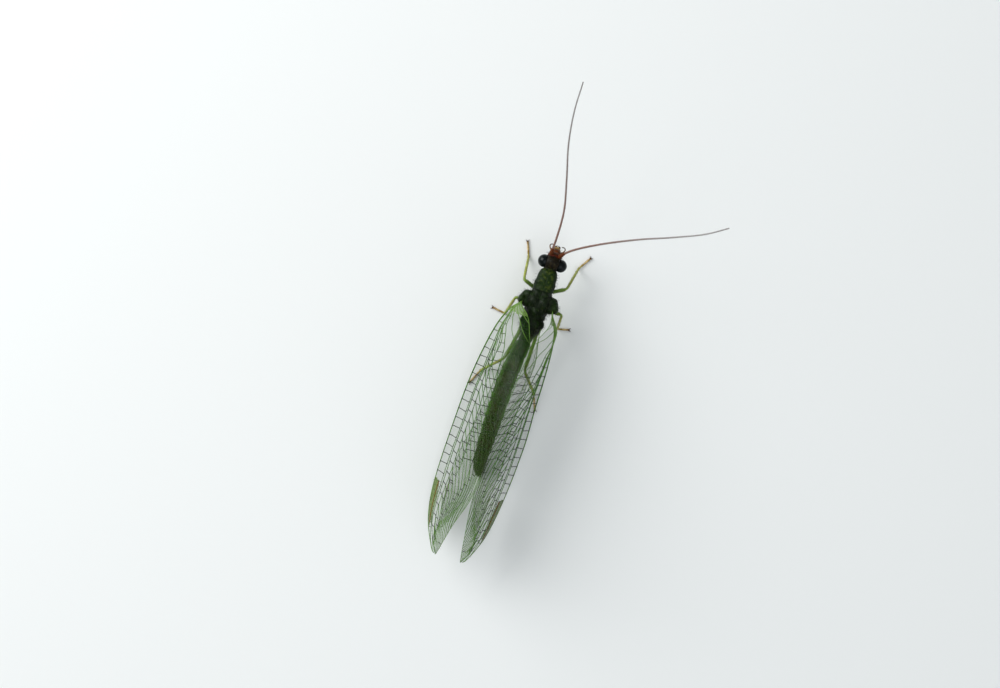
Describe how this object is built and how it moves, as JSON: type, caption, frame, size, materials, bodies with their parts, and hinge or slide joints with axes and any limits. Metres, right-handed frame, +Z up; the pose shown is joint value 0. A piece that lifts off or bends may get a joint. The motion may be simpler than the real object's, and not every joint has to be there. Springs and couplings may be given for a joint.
{
  "type": "green lacewing",
  "caption": "Life-size still model of a resting green lacewing, with clear veined wings folded like a roof over a slim green body and long raised antennae.",
  "frame": {"origin": "on the floor the feet rest on, under the middle of the whole animal's box", "axes": "+Z up, -Y the way the head looks, +Y along the wings to their tips, +X the animal's left side"},
  "size_m": [0.0096, 0.0234, 0.0068],
  "materials": {
    "head_cuticle": "satin orange-brown face cuticle",
    "eye": "glossy near-black compound eye with a faint metallic sheen",
    "antenna": "matt pinkish-brown ringed cuticle",
    "pronotum_green": "satin leaf-green cuticle",
    "thorax_green": "satin dark-green cuticle",
    "abdomen_green": "satin dark-green ringed cuticle",
    "wing_membrane": "clear, faintly iridescent membrane with green veins",
    "leg_cuticle": "satin yellow-green cuticle",
    "foot_cuticle": "satin amber cuticle"
  },
  "bodies": {
    "root": {"abdomen": "abdomen_green", "antenna_left_flagellum_far": "antenna", "antenna_left_flagellum_near": "antenna", "antenna_left_scape": "antenna", "antenna_right_flagellum_far": "antenna", "antenna_right_flagellum_near": "antenna", "antenna_right_scape": "antenna", "eye_left": "eye", "eye_right": "eye", "forewing_left": "wing_membrane", "forewing_right": "wing_membrane", "head": "head_cuticle", "hindwing_left": "wing_membrane", "hindwing_right": "wing_membrane", "leg_fore_left_femur": "leg_cuticle", "leg_fore_left_tarsus": "foot_cuticle", "leg_fore_left_tibia": "leg_cuticle", "leg_fore_right_femur": "leg_cuticle", "leg_fore_right_tarsus": "foot_cuticle", "leg_fore_right_tibia": "leg_cuticle", "leg_hind_left_femur": "leg_cuticle", "leg_hind_left_tarsus": "foot_cuticle", "leg_hind_left_tibia": "leg_cuticle", "leg_hind_right_femur": "leg_cuticle", "leg_hind_right_tarsus": "foot_cuticle", "leg_hind_right_tibia": "leg_cuticle", "leg_mid_left_femur": "leg_cuticle", "leg_mid_left_tarsus": "foot_cuticle", "leg_mid_left_tibia": "leg_cuticle", "leg_mid_right_femur": "leg_cuticle", "leg_mid_right_tarsus": "foot_cuticle", "leg_mid_right_tibia": "leg_cuticle", "mesothorax": "thorax_green", "metathorax": "thorax_green", "prothorax": "pronotum_green"}
  },
  "joints": []
}
